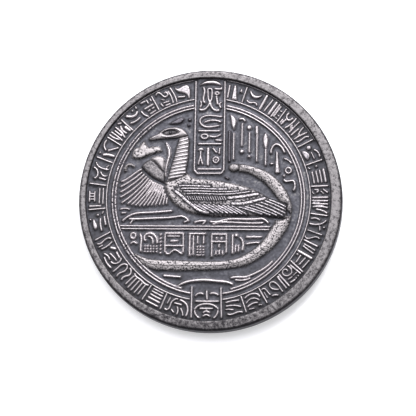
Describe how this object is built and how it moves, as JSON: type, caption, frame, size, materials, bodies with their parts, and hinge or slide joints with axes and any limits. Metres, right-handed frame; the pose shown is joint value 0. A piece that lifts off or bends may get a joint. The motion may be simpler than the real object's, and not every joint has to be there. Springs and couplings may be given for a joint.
{
  "type": "challenge coin",
  "caption": "Round antique-silver challenge coin: raised rims, a ring of small pictograph cells and a long-necked goose over a reed boat in low relief.",
  "frame": {"origin": "centre of the coin in the plane it lies on, the flat of the reverse rim", "axes": "+Z out of the obverse face, the coin's axis; +Y towards the top of the obverse design; +X to the right of the design seen from above"},
  "size_m": [0.04, 0.04, 0.003],
  "materials": {
    "blank_silver": "antique silver plate, darkened field and bright edge",
    "rim_silver": "antique silver plate, rubbed bright on top",
    "figure_silver": "antique silver plate, high spots rubbed bright, hollows dark",
    "line_silver": "antique silver plate, high spots rubbed bright, hollows dark",
    "reverse_silver": "antique silver plate"
  },
  "bodies": {
    "root": {"adze": "line_silver", "boat_hull": "figure_silver", "boat_stern_curl": "figure_silver", "boat_stern_knob": "figure_silver", "border_dividers": "line_silver", "border_line": "line_silver", "border_signs_left": "line_silver", "border_signs_lower_left": "line_silver", "border_signs_lower_right": "line_silver", "border_signs_right": "line_silver", "border_signs_upper_left": "line_silver", "border_signs_upper_right": "line_silver", "bottom_arch": "line_silver", "coin_blank": "blank_silver", "column_frame": "line_silver", "column_lower_signs": "line_silver", "column_upper_signs": "line_silver", "crest_marks": "line_silver", "fan_feathers": "figure_silver", "fan_hood": "figure_silver", "fan_mantle": "figure_silver", "goose_body": "figure_silver", "goose_breast_ridge": "figure_silver", "goose_eyeball": "figure_silver", "goose_eyelids": "figure_silver", "goose_flight_feathers": "figure_silver", "goose_head": "figure_silver", "goose_left_leg": "figure_silver", "goose_neck": "figure_silver", "goose_neck_rings": "figure_silver", "goose_right_leg": "figure_silver", "goose_scapular_dots": "figure_silver", "goose_tail_feathers": "figure_silver", "goose_wing_barbs": "figure_silver", "goose_wing_coverts": "figure_silver", "goose_wing_edges": "figure_silver", "ground_lines": "line_silver", "hanging_plume": "figure_silver", "inner_ring": "line_silver", "lamp": "line_silver", "mace": "line_silver", "obverse_rim": "rim_silver", "outer_ring": "line_silver", "paddles": "line_silver", "panel_frame": "line_silver", "panel_signs": "line_silver", "register_frames": "line_silver", "register_signs": "line_silver", "reverse_disc": "reverse_silver", "reverse_rim": "rim_silver", "reverse_ring": "reverse_silver", "reverse_rosette": "reverse_silver", "rim_line": "line_silver", "small_bird": "figure_silver", "snake": "line_silver", "spear": "line_silver", "water_lines": "line_silver"}
  },
  "joints": []
}
